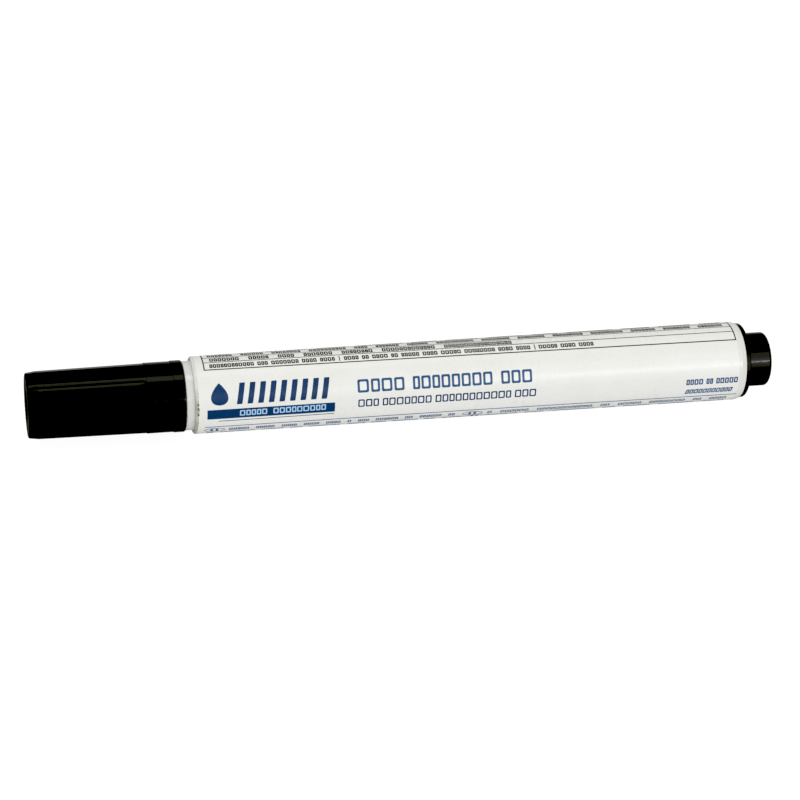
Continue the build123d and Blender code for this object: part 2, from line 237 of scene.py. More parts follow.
def mesh_piece(name, points, faces, finish, body, slot, stands_for=()):
    """A smooth mesh from points and a list of face index arrays. It rides on a body and stands for nodes."""
    mesh = bpy.data.meshes.new(name)
    rows = [face for group in faces for face in np.asarray(group).reshape(-1, np.shape(group)[-1]).tolist()]
    mesh.from_pydata(np.asarray(points, float).reshape(-1, 3).tolist(), [], rows)
    mesh.polygons.foreach_set("use_smooth", np.ones(len(mesh.polygons), bool))
    mesh.materials.append(finish)
    mesh.update()
    piece = bpy.data.objects.new(name, mesh)
    bpy.context.scene.collection.objects.link(piece)
    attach(piece, body)
    if stands_for:
        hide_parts(*stands_for)
    return piece


def turned_grid(line, turns, shift=None):
    """Points and faces of a line of (station, radius) carried round the axis.

    Point (i, j) is at station_i, radius_i and turn_j, plus what shift(station, radius, turn) adds to station
    and radius. A line from pole to pole has one point at each pole and a fan of triangles round it. A line
    with no pole is a closed section, and its last row joins its first.
    """
    station, radius = line[:, 0][:, None], line[:, 1][:, None]
    polar = line[0, 1] == 0
    if polar:
        station, radius = station[1:-1], radius[1:-1]
    if shift is not None:
        add_station, add_radius = shift(station, radius, turns[None, :])
        grid = place(station + add_station, radius + add_radius, turns[None, :])
    else:
        grid = place(station, radius, turns[None, :])
    rows, columns = grid.shape[:2]
    index = np.arange(rows * columns).reshape(rows, columns)
    beside = np.roll(index, -1, axis=1)
    if polar:
        quads = np.stack([index[:-1], index[1:], beside[1:], beside[:-1]], -1).reshape(-1, 4)
        first, last = rows * columns, rows * columns + 1
        fan_in = np.stack([np.full(columns, first), index[0], beside[0]], -1)
        fan_out = np.stack([index[-1], np.full(columns, last), beside[-1]], -1)
        poles = place(line[[0, -1], 0], np.zeros(2), np.zeros(2))
        return np.concatenate([grid.reshape(-1, 3), poles]), [quads, fan_in, fan_out]
    after, after_beside = np.roll(index, -1, axis=0), np.roll(beside, -1, axis=0)
    quads = np.stack([index, after, after_beside, beside], -1).reshape(-1, 4)
    return grid.reshape(-1, 3), [quads]


def even_turns(count):
    """Evenly spaced turns, the first straight forward."""
    return np.arange(count) * TURN / count


def turns_with_steps(count, centres, half_width):
    """Even turns, with a close pair at both sides of each window so that its walls stand up."""
    edges = np.concatenate([centres - half_width, centres + half_width])
    pairs = np.concatenate([edges - 0.002, edges + 0.002])
    even = even_turns(count)
    gap = np.abs((even[:, None] - edges[None, :] + math.pi) % TURN - math.pi).min(axis=1)
    return np.sort(np.concatenate([even[gap > 0.01], pairs % TURN]))


def inside_window(turn, centres, half_width):
    """1 within half_width of any of the centres, and 0 elsewhere."""
    away = np.abs((turn[..., None] - centres + math.pi) % TURN - math.pi).min(axis=-1)
    return (away < half_width).astype(float)


# ---- finishes ---------------------------------------------------------------------------------------------
def add(tree, kind, inputs=None, **settings):
    """A node with its settings, and its inputs set to values or linked to sockets."""
    made = tree.nodes.new(kind)
    for key, value in settings.items():
        setattr(made, key, value)
    for socket, value in (inputs or {}).items():
        if isinstance(value, bpy.types.NodeSocket):
            tree.links.new(value, made.inputs[socket])
        else:
            made.inputs[socket].default_value = value
    return made


def new_finish(name, sockets):
    """A material, its node tree, its shader and Object coordinates."""
    material = bpy.data.materials.new(name)
    material.use_nodes = True
    tree = material.node_tree
    shader = tree.nodes["Principled BSDF"]
    for socket, value in sockets.items():
        shader.inputs[socket].default_value = value
    return material, tree, shader, add(tree, "ShaderNodeTexCoord").outputs["Object"]


def grain(tree, where, scale, detail=3.0, stretch=(1, 1, 1), roughness=0.55):
    """Noise at a scale per metre, drawn out where stretch is under 1."""
    mapped = add(tree, "ShaderNodeMapping", {"Vector": where, "Scale": stretch}).outputs[0]
    inputs = {"Vector": mapped, "Scale": scale, "Detail": detail, "Roughness": roughness}
    return add(tree, "ShaderNodeTexNoise", inputs).outputs["Fac"]


def spread(tree, value, low, high, to_low=0.0, to_high=1.0):
    """A value's range from low to high, carried over to another range and held at its ends."""
    inputs = {"Value": value, "From Min": low, "From Max": high, "To Min": to_low, "To Max": to_high}
    return add(tree, "ShaderNodeMapRange", inputs).outputs["Result"]


def varied(tree, noise, low=0.0, high=1.0):
    """Noise, its middle part carried over to a range from low to high."""
    return spread(tree, noise, 0.3, 0.7, low, high)


def calculate(tree, operation, *values):
    """The result of one operation on values."""
    return add(tree, "ShaderNodeMath", dict(enumerate(values)), operation=operation).outputs[0]


def times(tree, *values):
    """The product of several values."""
    product = values[0]
    for value in values[1:]:
        product = calculate(tree, "MULTIPLY", product, value)
    return product


def feed(tree, shader, **sockets):
    """Values into the shader's sockets, which are named with _ in place of a space."""
    for socket, value in sockets.items():
        tree.links.new(value, shader.inputs[socket.replace("_", " ")])


def blend_colours(tree, share, first, second):
    """A colour between two, by share."""
    made = add(tree, "ShaderNodeMix", data_type="RGBA")
    for number, value in ((0, share), (6, first), (7, second)):
        if isinstance(value, bpy.types.NodeSocket):
            tree.links.new(value, made.inputs[number])
        else:
            made.inputs[number].default_value = (*value, 1) if number else value
    return made.outputs[2]


def raise_grain(tree, shader, height, distance, strength=1.0):
    """A bump that follows a height from 0 to 1 over a distance in metres."""
    bump = add(tree, "ShaderNodeBump", {"Height": height, "Distance": distance, "Strength": strength})
    feed(tree, shader, Normal=bump.outputs[0])


def specks(tree, where, scale, keep):
    """Small scattered dots: 1 in the heart of a share of the cells, 0 elsewhere."""
    cells = add(tree, "ShaderNodeTexVoronoi", {"Vector": where, "Scale": scale})
    dot = spread(tree, cells.outputs["Distance"], 0.16, 0.10)
    parts = add(tree, "ShaderNodeSeparateColor", {"Color": cells.outputs["Color"]})
    chosen = spread(tree, parts.outputs[0], keep, keep - 0.002)
    return times(tree, dot, chosen)


def black_plastic_finish():
    """Glossy black moulded plastic: faint mottle in its gloss, fine handling marks and a little dust."""
    material, tree, shader, where = new_finish("black_gloss_plastic", {"Specular IOR Level": 0.28})
    mottle = grain(tree, where, 700, 4.0)
    scuffs = grain(tree, where, 2600, 2.0, (0.12, 1, 1))
    dust = specks(tree, where, 1100, 0.012)
    body = blend_colours(tree, varied(tree, mottle), (0.0030, 0.0030, 0.0024), (0.0042, 0.0041, 0.0032))
    colour = blend_colours(tree, dust, body, (0.07, 0.068, 0.06))
    wear_and_painted_shade = spread(tree, scuffs, 0.45, 0.7, 0.0, 0.05)
    gloss = calculate(tree, "ADD", varied(tree, mottle, 0.11, 0.17), wear_and_painted_shade)
    feed(tree, shader, Base_Color=colour, Roughness=gloss)
    raise_grain(tree, shader, grain(tree, where, 1500, 3.0), 0.012 * MM, 0.6)
    return material


def grime_share(tree, where, station, width, turn_softness):
    """Brown dirt in broken spots along a ring at one station, heaviest in front, a little below the axis."""
    axes = add(tree, "ShaderNodeSeparateXYZ", {"Vector": where})
    offset = calculate(tree, "SUBTRACT", axes.outputs["X"], CLOSED_END + station * MM)
    away = calculate(tree, "ABSOLUTE", offset)
    ring = spread(tree, away, width * MM, width * MM * 0.4)
    front = spread(tree, axes.outputs["Y"], -turn_softness * MM, -7.2 * MM)
    height = calculate(tree, "SUBTRACT", axes.outputs["Z"], AXIS_HEIGHT - 0.8 * MM)
    level = calculate(tree, "ABSOLUTE", height)
    low = times(tree, front, spread(tree, level, 4.5 * MM, 1.0 * MM))
    spots = spread(tree, grain(tree, where, 2200, 4.0), 0.50, 0.60)
    return times(tree, ring, low, spots)


def white_plastic_finish():
    """Glossy warm-white moulded plastic with faint orange peel.

    In front of the label its rim is painted darker grey in patches towards its lower half, as painted shade,
    and it has brown dirt.
    """
    material, tree, shader, where = new_finish("white_gloss_plastic", {"Specular IOR Level": 0.55})
    cloud = grain(tree, where, 90, 2.0)
    clean = blend_colours(tree, varied(tree, cloud), (0.590, 0.592, 0.566), (0.622, 0.624, 0.604))
    axes = add(tree, "ShaderNodeSeparateXYZ", {"Vector": where})
    # Painted shade: the rim just in front of the label is darkened to grey in patches, more towards its lower
    # half.
    none_from = CLOSED_END + (LABEL_FRONT + 0.1) * MM
    full_to = CLOSED_END + (LABEL_FRONT - 0.05) * MM
    rim = spread(tree, axes.outputs["X"], none_from, full_to)
    lower = spread(tree, axes.outputs["Z"], AXIS_HEIGHT + 3.5 * MM, AXIS_HEIGHT - 0.5 * MM)
    patchy = spread(tree, grain(tree, where, 380, 3.0), 0.30, 0.60, 0.55, 1.0)
    wear_and_painted_shade = blend_colours(tree, times(tree, rim, lower, patchy), clean, (0.33, 0.33, 0.26))
    dirt = grime_share(tree, where, LABEL_FRONT - 0.1, 0.28, 5.5)
    colour = blend_colours(tree, dirt, wear_and_painted_shade, (0.10, 0.06, 0.025))
    gloss = varied(tree, grain(tree, where, 500, 3.0), 0.16, 0.26)
    feed(tree, shader, Base_Color=colour, Roughness=gloss)
    raise_grain(tree, shader, grain(tree, where, 420, 2.0), 0.010 * MM, 0.5)
    return material


def label_finish(name, colour, deeper, worn=False):
    """Film or ink of the label, in a slightly uneven colour. Worn film has brown specks and a dirty edge."""
    material, tree, shader, where = new_finish(name, {"Specular IOR Level": 0.55 if worn else 0.40})
    cloud = grain(tree, where, 160, 3.0)
    fibre = grain(tree, where, 3800, 2.0, (0.5, 1, 1))
    share = calculate(tree, "ADD", varied(tree, cloud, 0, 0.7), varied(tree, fibre, 0, 0.3))
    tone = blend_colours(tree, share, colour, deeper)
    if worn:
        tone = blend_colours(tree, specks(tree, where, 330, 0.03), tone, (0.30, 0.26, 0.18))
        dirt = grime_share(tree, where, LABEL_FRONT + 0.02, 0.20, 5.0)
        tone = blend_colours(tree, dirt, tone, (0.08, 0.045, 0.02))
    gloss = varied(tree, grain(tree, where, 650, 3.0), 0.25, 0.33)
    feed(tree, shader, Base_Color=tone, Roughness=gloss)
    raise_grain(tree, shader, grain(tree, where, 260, 2.0, (0.35, 1, 1)), 0.012 * MM, 0.6)
    return material


def nose_finish():
    """Glossy off-white plastic that lets a little light in."""
    sockets = {
        "Specular IOR Level": 1.0,
        "Subsurface Weight": 0.08,
        "Subsurface Radius": (0.6 * MM, 0.7 * MM, 0.9 * MM),
        "Subsurface Scale": 1.0,
    }
    material, tree, shader, where = new_finish("white_nose_plastic", sockets)
    cloud = grain(tree, where, 260, 3.0)
    colour = blend_colours(tree, varied(tree, cloud), (0.580, 0.585, 0.570), (0.614, 0.619, 0.606))
    gloss = varied(tree, grain(tree, where, 900, 3.0), 0.12, 0.18)
    feed(tree, shader, Base_Color=colour, Roughness=gloss)
    raise_grain(tree, shader, grain(tree, where, 1300, 2.0, (1, 0.3, 0.3)), 0.010 * MM, 0.5)
    return material


def liner_finish():
    """Natural waxy plastic, milky and soft to the light, with faint flow streaks."""
    sockets = {
        "Subsurface Weight": 0.35,
        "Subsurface Radius": (1.2 * MM, 1.1 * MM, 0.9 * MM),
        "Subsurface Scale": 1.0,
    }
    material, tree, shader, where = new_finish("natural_waxy_plastic", sockets)
    streaks = grain(tree, where, 500, 3.0, (0.15, 1, 1))
    colour = blend_colours(tree, varied(tree, streaks), (0.70, 0.71, 0.67), (0.80, 0.81, 0.78))
    feed(tree, shader, Base_Color=colour, Roughness=varied(tree, streaks, 0.36, 0.50))
    raise_grain(tree, shader, grain(tree, where, 1800, 2.0), 0.010 * MM, 0.6)
    return material


def fibre_finish(name, light, dark, across, depth):
    """Bundled fibres that run along the pen: streaks of two tones, with ridges along them."""
    sockets = {"Roughness": 0.92, "Sheen Weight": 0.25, "Sheen Roughness": 0.5, "Specular IOR Level": 0.2}
    material, tree, shader, where = new_finish(name, sockets)
    strands = grain(tree, where, across, 5.0, (0.06, 1, 1), 0.7)
    fuzz = grain(tree, where, across * 1.7, 3.0, (0.5, 1, 1))
    colour = blend_colours(tree, spread(tree, strands, 0.35, 0.65), dark, light)
    feed(tree, shader, Base_Color=colour)
    raise_grain(tree, shader, calculate(tree, "ADD", strands, fuzz), depth, 0.9)
    return material


def film_finish():
    """Thin milky film round the fibre core, with crinkles along it."""
    sockets = {"Transmission Weight": 0.12, "Coat Weight": 0.2}
    material, tree, shader, where = new_finish("milky_wrap_film", sockets)
    crinkle = grain(tree, where, 420, 4.0, (0.2, 1, 1))
    colour = blend_colours(tree, varied(tree, crinkle), (0.74, 0.77, 0.80), (0.84, 0.86, 0.88))
    feed(tree, shader, Base_Color=colour, Roughness=varied(tree, crinkle, 0.25, 0.42))
    raise_grain(tree, shader, crinkle, 0.020 * MM, 0.7)
    return material


BLACK = black_plastic_finish()
WHITE = white_plastic_finish()
LABEL = label_finish("label_white_laminate", (0.640, 0.642, 0.616), (0.668, 0.670, 0.649), worn=True)
NOSE = nose_finish()
LINER = liner_finish()
FELT = fibre_finish("pressed_felt", (0.88, 0.87, 0.83), (0.70, 0.69, 0.64), 5200, 0.030 * MM)
FIBRE = fibre_finish("bonded_fibre", (0.90, 0.90, 0.88), (0.72, 0.73, 0.72), 3200, 0.050 * MM)
WRAP = film_finish()
INK_BLACK = label_finish("ink_black", (0.010, 0.009, 0.009), (0.016, 0.015, 0.014))
INK_NAVY = label_finish("ink_navy", (0.004, 0.031, 0.108), (0.006, 0.038, 0.125))
INK_BLUE = label_finish("ink_blue", (0.013, 0.064, 0.175), (0.018, 0.076, 0.200))
INK_PALE = label_finish("ink_pale_blue", (0.30, 0.48, 0.68), (0.36, 0.53, 0.72))


# ---- cap --------------------------------------------------------------------------------------------------
def crest(station):
    """Top of the ribs: a slight cone."""
    return CREST_AT_END + station * CREST_SLOPE


def rib_grooves(station, radius, turn):
    """How far the grooves cut into the outside of the cap.

    Across a rib, w runs from 0 on its crest to 1 in the middle of the groove beside it. The cut is the depth
    times the root of w squared plus c squared, less c, scaled to reach 1 in the groove: a rounded crest, flat
    flanks and a sharp groove. It fades out over a short run at both ends of the straight part.
    """
    pitch = TURN / GROOVES
    w = np.abs((turn + pitch / 2) % pitch - pitch / 2) / (pitch / 2)
    section = (np.sqrt(w**2 + CREST_WIDTH**2) - CREST_WIDTH) / (math.sqrt(1 + CREST_WIDTH**2) - CREST_WIDTH)
    beyond = np.maximum(GROOVE_START - station, station - GROOVE_STOP) / GROOVE_FADE
    fade = np.sqrt(np.clip(1 - np.clip(beyond, 0, 1)**2, 0, 1))
    outside = (radius > LINER_SEAT + 0.5) & (station < RIB_LENGTH - 0.01) & (station > 0.001)
    return np.zeros_like(w * station), np.where(outside, -GROOVE_DEPTH * section * fade, 0.0)


def make_cap():
    """The cap: a turned shell with a shallow dish in its end, grooves between its ribs, and a mouth ring."""
    snap = SNAP_STATION
    run_in = [(s, crest(s), 0) for s in (3.2, 4.2)]
    run_out = [(s, crest(s), 0) for s in np.arange(20.6, 22.3, 0.16)]
    corners = [
        (END_DISH_DEPTH, 0),
        (0, END_DISH_RADIUS, 0.4),
        (0, crest(0) - 0.25, 0.35),
        (2.0, crest(2.0), 1.6),
        *run_in,
        *run_out,
        (RIB_LENGTH, crest(RIB_LENGTH), EDGE),
        (RIB_LENGTH, BAND_RADIUS, 0.06),
        (RING_START, BAND_RADIUS, EDGE),
        (RING_START, RING_RADIUS, 0.05),
        (CAP_LENGTH, RING_RADIUS, 0.25),
        (CAP_LENGTH, CAP_BORE + LEAD_IN, 0.05),
        (CAP_LENGTH - LEAD_IN, CAP_BORE, 0.05),
        (snap + SNAP_WIDTH, CAP_BORE, 0.1),
        (snap, CAP_BORE + 0.05, 0.2),
        (snap - SNAP_WIDTH, CAP_BORE, 0.1, WHOLE_RUN),
        (CAP_BORE_END, CAP_BORE, EDGE),
        (CAP_BORE_END, LINER_SEAT, EDGE, WHOLE_RUN),
        (LINER_START, LINER_SEAT, 0.1, WHOLE_RUN),
        (LINER_START, 0),
    ]
    grid = turned_grid(outline(corners, step=1.0), even_turns(GROOVES * 24), rib_grooves)
    return mesh_piece("ribbed_cap", *grid, BLACK, "cap", "black_plastic", ["cap_shell"])


def make_inner_cap():
    """The inner cap: a turned cup with a narrower chamber for the tip and a lead-in at its mouth."""
    corners = [
        (LINER_START, 0),
        (LINER_START, LINER_RADIUS, 0.15),
        (LINER_MOUTH, LINER_RADIUS, 0.12),
        (LINER_MOUTH, LINER_SEAL + LEAD_IN, 0.06),
        (LINER_MOUTH - LEAD_IN, LINER_SEAL, 0.1),
        (LINER_CHAMBER_END, LINER_SEAL, 0.06),
        (LINER_CHAMBER_END, LINER_CHAMBER, 0.06),
        (LINER_FLOOR, LINER_CHAMBER, 0.35),
        (LINER_FLOOR, 0),
    ]
    grid = turned_grid(outline(corners), even_turns(128))
    return mesh_piece("sealing_inner_cap", *grid, LINER, "cap", "liner_plastic", ["inner_cap"])


# ---- nose and nib -----------------------------------------------------------------------------------------
VENTS = np.radians([45, 135, 225, 315])
NOTCHES = np.radians([0, 90, 180, 270])


def nose_openings(station, radius, turn):
    """Air grooves along the nib's bore, and notches that shorten the spigot's end."""
    vent = inside_window(turn, VENTS, VENT_WIDTH / 2 / NIB_BORE)
    in_bore = (radius < NIB_BORE + 0.06) & (station < 24.0)
    notch = inside_window(turn, NOTCHES, NOTCH_HALF_WIDTH / NOTCH_RADIUS)
    at_end = station > SPIGOT_END - 0.41
    return -NOTCH_DEPTH * notch * at_end, VENT_DEPTH * vent * in_bore


def make_nose():
    """The nose: sealing land, shoulder, fit land with its snap bead, collar, spigot, and the nib's bore."""
    chamber = FIT_LAND - NOSE_WALL
    spigot = SPIGOT_RADIUS
    bead = SNAP_STATION
    corners = [
        (NOSE_FRONT, NIB_BORE, EDGE),
        (NOSE_FRONT, NOSE_TIP, 0.12),
        (NOSE_FRONT + 1.4, SEAL_LAND, 0.5),
        (SEAL_LAND_END, SEAL_LAND, 0.4),
        (FIT_LAND_START, FIT_LAND, 0.3),
        (bead - 0.4, FIT_LAND, 0.2),
        (bead, POST_RADIUS, 0.3),
        (bead + 0.4, FIT_LAND, 0.2),
        (COLLAR_FACE, FIT_LAND, 0.08),
        (COLLAR_FACE, COLLAR_RADIUS, 0.15),
        (BARREL_FRONT, COLLAR_RADIUS, EDGE),
        (BARREL_FRONT, spigot, EDGE),
        (SPIGOT_END - SPIGOT_CHAMFER, spigot, 0.05),
        (SPIGOT_END, spigot - SPIGOT_CHAMFER, 0.05),
        (SPIGOT_END, spigot - SPIGOT_WALL, EDGE),
        (BARREL_FRONT, spigot - SPIGOT_WALL, 0.1),
        (COLLAR_FACE, chamber, 0.1),
        (NOSE_CHAMBER_START, chamber, 0.2),
        (NIB_BORE_END, NIB_BORE + NIB_BORE_LEAD, 0.05),
        (NIB_BORE_END, NIB_BORE, EDGE),
    ]
    turns = turns_with_steps(96, VENTS, VENT_WIDTH / 2 / NIB_BORE)
    grid = turned_grid(outline(corners, closed=True), turns, nose_openings)
    return mesh_piece("pen_nose", *grid, NOSE, "pen", "nose_plastic", ["nose_section"])


def felt_fuzz(station, radius, turn):
    """Fine ridges along the nib: a sum of sines round it, each with its own phase, softer towards the tip."""
    random = np.random.default_rng(7)
    waves = random.integers(18, 60, 9)
    phases = random.uniform(0, TURN, 9)
    drift = random.uniform(-0.35, 0.35, 9)
    ridges = sum(np.sin(w * turn + p + d * station) for w, p, d in zip(waves, phases, drift)) / 9
    shown = np.clip((station - NIB_TIP) / 2.0, 0, 1) * np.clip((NOSE_FRONT - 0.1 - station) / 1.0, 0, 1)
    dents = 0.02 * np.sin(3 * turn + 1.1) * np.clip(1 - (station - NIB_TIP) / 3.0, 0, 1)
    added = (0.018 * ridges * shown + dents * shown) * np.minimum(1, radius / NIB_RADIUS)
    return np.zeros_like(ridges), added


def make_nib():
    """The nib: a felt rod with a bullet tip and a tapered tail in the core."""
    dome = NIB_RADIUS - 0.3
    u = np.linspace(0, math.pi / 2, 14)
    tip = np.stack([NIB_TIP + dome * (1 - np.sin(u)), 0.3 + dome * np.cos(u)], -1)[::-1]
    shank = np.array([(s, NIB_RADIUS) for s in np.arange(NIB_TIP + dome + 0.3, NOSE_FRONT + 0.6, 0.3)])
    tail = outline([
        (15.0, NIB_RADIUS),
        (NIB_TAIL - 2.0, NIB_RADIUS, 0.5),
        (NIB_TAIL, NIB_RADIUS - 0.8, 0.15),
        (NIB_TAIL, 0),
    ])
    line = np.concatenate([[(NIB_TIP, 0)], tip, shank, tail])
    grid = turned_grid(line, even_turns(180), felt_fuzz)
    return mesh_piece("felt_nib", *grid, FELT, "pen", "felt", ["nib"])


# ---- barrel -----------------------------------------------------------------------------------------------
def centring_ribs(station, radius, turn):
    """Six low ribs in the bore, whose crests stay level while the bore widens."""
    rib = inside_window(turn, CENTRING_RIBS, CENTRING_HALF_ANGLE)
    in_bore = (radius < bore_radius(station) + 0.01) & (station > RIB_FRONT) & (station < RIB_REAR)
    return np.zeros_like(rib * radius), rib * in_bore * (RIB_CREST - radius)


def make_barrel():
    """The barrel: a tapered tube with a rounded front rim, a recess for the label and a soft rear end."""
    front, rear = BARREL_FRONT, BARREL_REAR
    recess_front, recess_rear = LABEL_FRONT - RECESS_MARGIN, LABEL_REAR + RECESS_MARGIN / 6
    ease = rear - REAR_EASE
    corners = [
        (front, bore_radius(front), 0.05),
        (front, barrel_radius(front), 0.35),
        (recess_front, barrel_radius(recess_front), EDGE),
        (recess_front, barrel_radius(recess_front) - RECESS, EDGE),
        (recess_rear, barrel_radius(recess_rear) - RECESS, EDGE),
        (recess_rear, barrel_radius(recess_rear), EDGE),
        (ease, barrel_radius(ease), 1.2),
        (rear, barrel_radius(rear) - REAR_NARROWING, 0.08),
        (rear, bore_radius(rear), 0.05),
        (RIB_REAR + 0.02, bore_radius(RIB_REAR)),
        (RIB_REAR - 0.02, bore_radius(RIB_REAR)),
        (RIB_FRONT + 0.02, bore_radius(RIB_FRONT)),
        (RIB_FRONT - 0.02, bore_radius(RIB_FRONT)),
    ]
    turns = turns_with_steps(144, CENTRING_RIBS, CENTRING_HALF_ANGLE)
    grid = turned_grid(outline(corners, closed=True, step=6.0), turns, centring_ribs)
    return mesh_piece("tapered_barrel", *grid, WHITE, "pen", "white_plastic", ["barrel"])


def make_label():
    """The wrap label: one film wound once round and on over its own start.

    Along the film the turn runs from the lap's start through a full turn and the lap. Its height is the
    recess floor, plus one film thickness where it climbs over its start, eased by a smooth step. Outer and
    inner side make one closed loop, which is carried from the label's front edge to its rear edge.
    """
    reach = TURN + LAP_ARC
    along = np.linspace(0, reach, 250)
    rise = np.clip((along - (TURN - LAP_RISE)) / LAP_RISE, 0, 1)
    climb = FILM * rise * rise * (3 - 2 * rise)
    turn = LAP_START + along
    loop_turn = np.concatenate([turn, turn[::-1]])
    loop_height = np.concatenate([climb + FILM, climb[::-1]])
    station = np.linspace(LABEL_FRONT, LABEL_REAR, 24)
    floor = barrel_radius(station) - RECESS
    grid = place(station[:, None], floor[:, None] + loop_height[None, :], loop_turn[None, :])
    rows, columns = grid.shape[:2]
    index = np.arange(rows * columns).reshape(rows, columns)
    beside = np.roll(index, -1, axis=1)
    sides = np.stack([index[:-1], index[1:], beside[1:], beside[:-1]], -1).reshape(-1, 4)
    half = columns // 2
    outer, inner = np.arange(half), columns - 1 - np.arange(half)
    strip = np.stack([outer[:-1], outer[1:], inner[1:], inner[:-1]], -1)
    front, rear = index[0, strip], index[-1, strip[:, [0, 3, 2, 1]]]
    faces = [sides, front, rear]
    piece = mesh_piece("wound_label", grid, faces, LABEL, "pen", "label_film", ["wrap_label"])
    sharpen(piece)
    return piece


def sharpen(piece, limit=math.radians(40)):
    """Marks edges steeper than the limit as sharp, so that a thin rim isn't shaded into its face."""
    piece.data.set_sharp_from_angle(angle=limit)


# ---- rear plug --------------------------------------------------------------------------------------------
def plate(start, stop, reach, thickness, turn):
    """Eight corners of a flat plate: its two stations, its reach to both sides and half its thickness."""
    side = np.array([-1, 1])
    x, across, up = np.meshgrid([start, stop], side * reach, side * thickness / 2, indexing="ij")
    y = across * math.cos(turn) - up * math.sin(turn)
    z = across * math.sin(turn) + up * math.cos(turn)
    points = np.stack([CLOSED_END + x * MM, y * MM, AXIS_HEIGHT + z * MM], -1).reshape(-1, 3)
    faces = np.array([(0, 1, 3, 2), (4, 6, 7, 5), (0, 4, 5, 1), (2, 3, 7, 6), (0, 2, 6, 4), (1, 5, 7, 3)])
    return points, faces


def make_rear_plug():
    """The rear plug: spigot in the barrel, flange against its end, hollow stub, and crossed plates inside."""
    base = BARREL_REAR + FLANGE_LENGTH
    flange = barrel_radius(BARREL_REAR) - FLANGE_STEP
    spigot = bore_radius(PLUG_FRONT) - PLUG_CLEARANCE
    hollow = spigot - PLUG_WALL
    stub_hollow = POST_RADIUS - PLUG_WALL
    stub_floor = PEN_LENGTH - STUB_END_WALL
    corners = [
        (stub_floor, 0),
        (stub_floor, stub_hollow, 0.1),
        (BARREL_REAR, stub_hollow, 0.1),
        (BARREL_REAR - PLUG_WALL, hollow, 0.1),
        (PLUG_FRONT, hollow, EDGE),
        (PLUG_FRONT, spigot - SPIGOT_CHAMFER, EDGE),
        (PLUG_FRONT + SPIGOT_CHAMFER, spigot, 0.05),
        (BARREL_REAR, spigot, EDGE),
        (BARREL_REAR, flange, 0.06),
        (base, flange - 0.1, 0.2),
        (base, POST_RADIUS, 0.3),
        (PEN_LENGTH, POST_RADIUS, 0.55),
        (PEN_LENGTH, DIMPLE_RADIUS, 0.1),
        (PEN_LENGTH - DIMPLE_DEPTH, 0),
    ]
    points, faces = turned_grid(outline(corners, step=1.5), even_turns(160))
    for turn in (0, math.pi / 2):
        more, sides = plate(CORE_REAR, BARREL_REAR - 1.0, hollow + 0.3, PLATE_THICKNESS, turn)
        faces = faces + [sides + len(points)]
        points = np.concatenate([points, more])
    piece = mesh_piece("rear_stub_plug", points, faces, BLACK, "pen", "black_plastic", ["rear_plug"])
    sharpen(piece)
    return piece


# ---- label print ------------------------------------------------------------------------------------------
INK_PROUD = 0.012           # height of the ink over the film
INK_ROOT = 0.03             # and how far its patches reach into it
FRAME_FRONT = 33.4
FRAME_REAR = 138.6


def stamp(name, shapes, finish, proud=INK_PROUD):
    """Thin ink patches on the label, all in one piece.

    A patch is a run of cross lines from a left to a right point, each given as station and arc, the distance
    round the label from straight forward. Its section is a flat loop of four: left and right just above the
    film, right and left just inside it. The loops are joined along the run, and its ends are closed or, for
    a ring, joined to each other.
    """
    points, faces, total = [], [], 0
    for lines, ring in shapes:
        count, steps = lines.shape[:2]
        station, arc = lines[..., 0], lines[..., 1]
        film = label_radius(station)
        turn = arc / film
        top = place(station, film + proud, turn)
        root = place(station, film - INK_ROOT, turn)
        loop = np.stack([top[..., 0, :], top[..., 1, :], root[..., 1, :], root[..., 0, :]], axis=2)
        i = np.arange(steps if ring else steps - 1)[:, None]
        k = np.arange(4)[None, :]
        after, side = (i + 1) % steps, (k + 1) % 4
        quads = np.stack([i * 4 + k, i * 4 + side, after * 4 + side, after * 4 + k], -1).reshape(-1, 4)
        if not ring:
            last = (steps - 1) * 4
            quads = np.concatenate([quads, [[0, 3, 2, 1], [last, last + 1, last + 2, last + 3]]])
        faces.append((quads[None] + (total + np.arange(count) * steps * 4)[:, None, None]).reshape(-1, 4))
        points.append(loop.reshape(-1, 3))
        total += count * steps * 4
    piece = mesh_piece(name, np.concatenate(points), faces, finish, "pen", "label_film")
    sharpen(piece)
    return piece


def cross_lines(left, right, arc):
    """Cross lines from a left to a right station, both at the same arc."""
    return np.stack([np.stack([left, arc], -1), np.stack([right, arc], -1)], axis=-2)


def blocks(boxes, steps=6, slant=0.0, rounding=0.32):
    """Blocks with rounded corners, as cross lines that run up the arc.

    Boxes are rows of left, right, low and high. Near its low and high edge a block draws in by its corner
    size less the height of a circle of that size. The corner is a share of the shorter side, and a slant
    moves a line sideways by its height.
    """
    boxes = np.asarray(boxes, float)
    left, right, low, high = (boxes[:, i][:, None] for i in range(4))
    corner = np.minimum(right - left, high - low) * rounding
    middle = np.linspace(0, 1, max(2, steps - 4))
    from_low = np.concatenate([[0, 0.3], np.ones(len(middle)), [1.7, 2]])[None, :]
    up = np.concatenate([[0, 0], middle, [1, 1]])[None, :]
    arc = low + corner * from_low + (high - low - 2 * corner) * up
    edge = np.clip(np.maximum(low + corner - arc, arc - high + corner) / corner, 0, 1)
    inset = corner * (1 - np.sqrt(1 - edge**2))
    lean = slant * (arc - low)
    return cross_lines(left + inset + lean, right - inset + lean, arc), False


def rule(start, stop, width):
    """A straight rule between two (station, arc) points, of a width across it.

    Its steps are short, since between them it is flat and would sink into the film.
    """
    start, stop = np.array(start, float), np.array(stop, float)
    along = stop - start
    longest_ahead, longest_round = 8, 0.4
    steps = max(2, math.ceil(max(abs(along[0]) / longest_ahead, abs(along[1]) / longest_round)) + 1)
    u = np.linspace(0, 1, steps)[:, None]
    centre = start + along * u
    across = np.array([along[1], -along[0]]) / np.linalg.norm(along) * width / 2
    return np.stack([centre - across, centre + across], axis=1)[None], False


